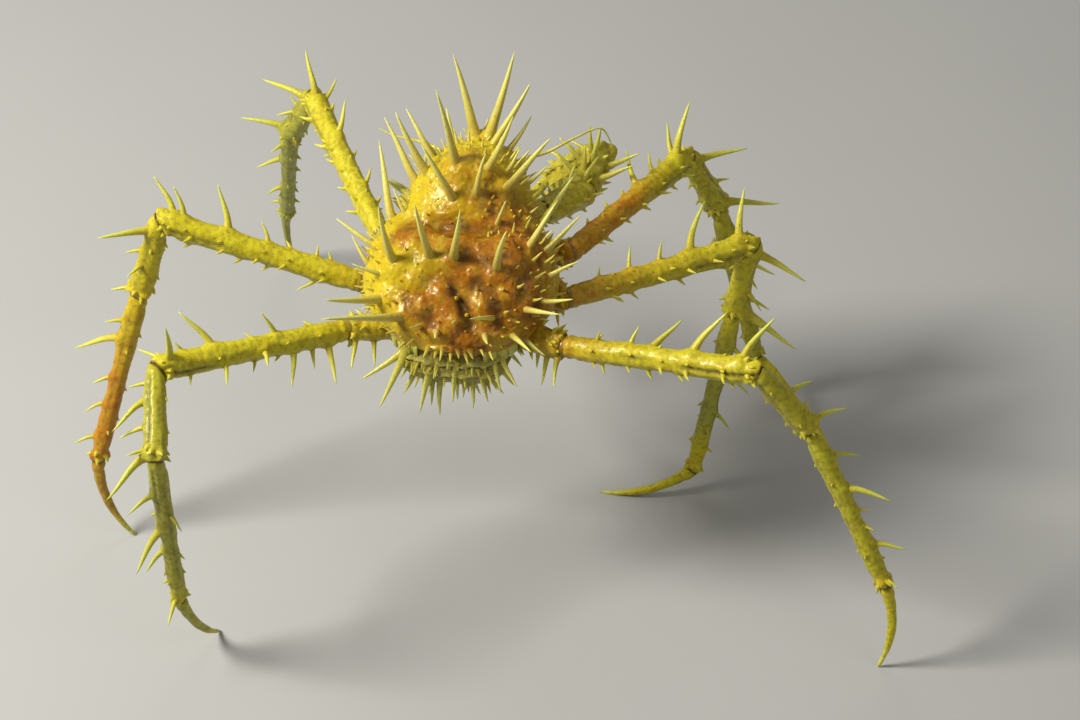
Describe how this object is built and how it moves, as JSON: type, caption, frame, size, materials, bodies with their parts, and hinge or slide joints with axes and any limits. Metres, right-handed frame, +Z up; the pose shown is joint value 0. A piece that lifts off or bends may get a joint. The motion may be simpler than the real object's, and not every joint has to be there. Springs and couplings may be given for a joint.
{
  "type": "porcupine crab model",
  "caption": "Still, life-size spiny deep-sea king crab standing on six walking legs, with claws, feelers and folded abdomen, covered in long tapered spines.",
  "frame": {"origin": "on the floor, below the middle of the whole crab's bounding box", "axes": "+Z up from the floor, -Y the way the crab faces, +X to its left"},
  "size_m": [0.4204, 0.3226, 0.2505],
  "materials": {
    "carapace_shell": "amber-orange varnished shell with pale yellow spines",
    "body_shell": "olive to amber varnished shell",
    "leg_shell": "yellow varnished shell, a little rough, amber in places",
    "claw_shell": "yellow-green varnished shell",
    "feeler": "pale thin horn",
    "eye": "dark glossy cornea"
  },
  "bodies": {
    "root": {"carapace": "carapace_shell", "rostrum": "carapace_shell", "thorax": "body_shell", "abdomen_base": "body_shell", "abdomen_flap": "body_shell", "eye_left": "eye", "eye_right": "eye", "eye_stalk_left": "body_shell", "eye_stalk_right": "body_shell", "antenna_base_left": "body_shell", "antenna_base_right": "body_shell", "antenna_left": "feeler", "antenna_right": "feeler", "antennule_left": "feeler", "antennule_right": "feeler", "maxilliped_left": "body_shell", "maxilliped_right": "body_shell", "claw_left_coxa": "claw_shell", "claw_left_merus": "claw_shell", "claw_left_carpus": "claw_shell", "claw_left_palm": "claw_shell", "claw_left_finger": "claw_shell", "claw_right_coxa": "claw_shell", "claw_right_merus": "claw_shell", "claw_right_carpus": "claw_shell", "claw_right_palm": "claw_shell", "claw_right_finger": "claw_shell", "leg_left_2_coxa": "leg_shell", "leg_left_2_merus": "leg_shell", "leg_left_2_carpus": "leg_shell", "leg_left_2_propodus": "leg_shell", "leg_left_2_dactyl": "leg_shell", "leg_left_3_coxa": "leg_shell", "leg_left_3_merus": "leg_shell", "leg_left_3_carpus": "leg_shell", "leg_left_3_propodus": "leg_shell", "leg_left_3_dactyl": "leg_shell", "leg_left_4_coxa": "leg_shell", "leg_left_4_merus": "leg_shell", "leg_left_4_carpus": "leg_shell", "leg_left_4_propodus": "leg_shell", "leg_left_4_dactyl": "leg_shell", "leg_right_2_coxa": "leg_shell", "leg_right_2_merus": "leg_shell", "leg_right_2_carpus": "leg_shell", "leg_right_2_propodus": "leg_shell", "leg_right_2_dactyl": "leg_shell", "leg_right_3_coxa": "leg_shell", "leg_right_3_merus": "leg_shell", "leg_right_3_carpus": "leg_shell", "leg_right_3_propodus": "leg_shell", "leg_right_3_dactyl": "leg_shell", "leg_right_4_coxa": "leg_shell", "leg_right_4_merus": "leg_shell", "leg_right_4_carpus": "leg_shell", "leg_right_4_propodus": "leg_shell", "leg_right_4_dactyl": "leg_shell"}
  },
  "joints": []
}
